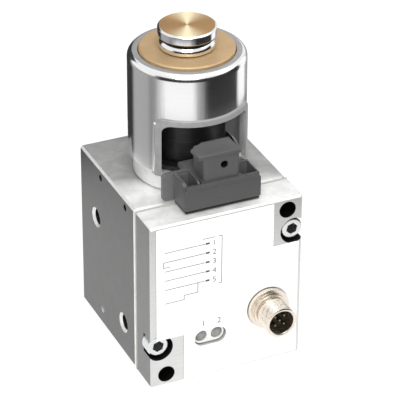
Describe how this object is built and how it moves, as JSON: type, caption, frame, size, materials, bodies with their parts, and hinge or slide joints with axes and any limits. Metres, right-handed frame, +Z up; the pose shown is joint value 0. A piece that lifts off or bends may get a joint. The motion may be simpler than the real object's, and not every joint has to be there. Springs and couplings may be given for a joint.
{
  "type": "electro pneumatic pressure regulator",
  "caption": "Electro pneumatic pressure regulator: aluminium valve block with a labelled front cover, round pin receptacle and two indicators, under a steel-clad proportional solenoid.",
  "frame": {"origin": "on the floor under the middle of the device's overall box, receptacle included", "axes": "+Z up along the solenoid; the labelled front faces -Y; +X to the right seen from the front"},
  "size_m": [0.0616, 0.079, 0.1261],
  "materials": {
    "cast_aluminium": "blasted",
    "milled_aluminium": "milled",
    "polished_steel": "polished",
    "bright_steel": "turned",
    "zinc_steel": "zinc plated",
    "yellow_steel": "yellow passivated",
    "nickel_brass": "nickel plated",
    "gold_contact": "gold plated",
    "brass": "turned",
    "spring_steel": "drawn wire",
    "rubber": "moulded",
    "gasket_fibre": "pressed sheet",
    "label": "printed film",
    "white_plastic": "moulded",
    "light_pipe": "clear grey",
    "dark_plastic": "moulded, glass filled",
    "black_plastic": "moulded",
    "board": "laminate",
    "coil_tape": "wrapped tape"
  },
  "bodies": {
    "housing": {"board_screw_1": "zinc_steel", "board_screw_2": "zinc_steel", "bottom_circlip": "spring_steel", "bottom_plug": "brass", "circuit_board": "board", "coil_bobbin": "black_plastic", "coil_terminal_1": "brass", "coil_terminal_2": "brass", "coil_winding": "coil_tape", "connector_insert": "black_plastic", "connector_nut": "nickel_brass", "connector_pin_1": "gold_contact", "connector_pin_2": "gold_contact", "connector_pin_3": "gold_contact", "connector_pin_4": "gold_contact", "connector_pin_5": "gold_contact", "connector_seal": "rubber", "connector_shell": "nickel_brass", "cover_gasket": "gasket_fibre", "cover_screw_lower": "zinc_steel", "cover_screw_upper": "zinc_steel", "end_cap": "bright_steel", "flange_seal": "rubber", "front_cover": "milled_aluminium", "guide_tube": "zinc_steel", "housing_gasket": "rubber", "indicator_insert": "white_plastic", "indicator_left": "light_pipe", "indicator_right": "light_pipe", "label_film": "label", "magnet_pot": "polished_steel", "plug_housing": "dark_plastic", "plug_seal_lower": "rubber", "plug_seal_upper": "rubber", "pole_flange": "bright_steel", "port_seal_exhaust": "rubber", "port_seal_outlet": "rubber", "port_seal_supply": "rubber", "pressure_sensor": "zinc_steel", "retaining_nut": "bright_steel", "seat_ring": "brass", "seat_seal": "rubber", "sensor_seal": "rubber", "top_plate": "yellow_steel", "valve_body": "cast_aluminium"},
    "plunger": {"armature": "zinc_steel", "control_piston": "brass", "piston_seal": "rubber", "push_rod": "bright_steel", "return_spring": "spring_steel"},
    "poppet_slide": {"poppet": "brass", "poppet_rubber": "rubber", "poppet_spring": "spring_steel"}
  },
  "joints": [
    {"name": "plunger_stroke", "type": "slide", "parent": "housing", "child": "plunger", "axis": [0, 0, -1], "range_m": [0, 0.0024], "stiffness_N_per_m": 1200, "springref_m": -0.003, "deforming": ["return_spring"]},
    {"name": "poppet_lift", "type": "slide", "parent": "housing", "child": "poppet_slide", "axis": [0, 0, -1], "range_m": [0, 0.00145], "stiffness_N_per_m": 1000, "springref_m": -0.002, "deforming": ["poppet_spring"]}
  ],
  "couplings": [
    {"joint": "poppet_lift", "follows": "plunger_stroke", "ratio": 0.6}
  ]
}
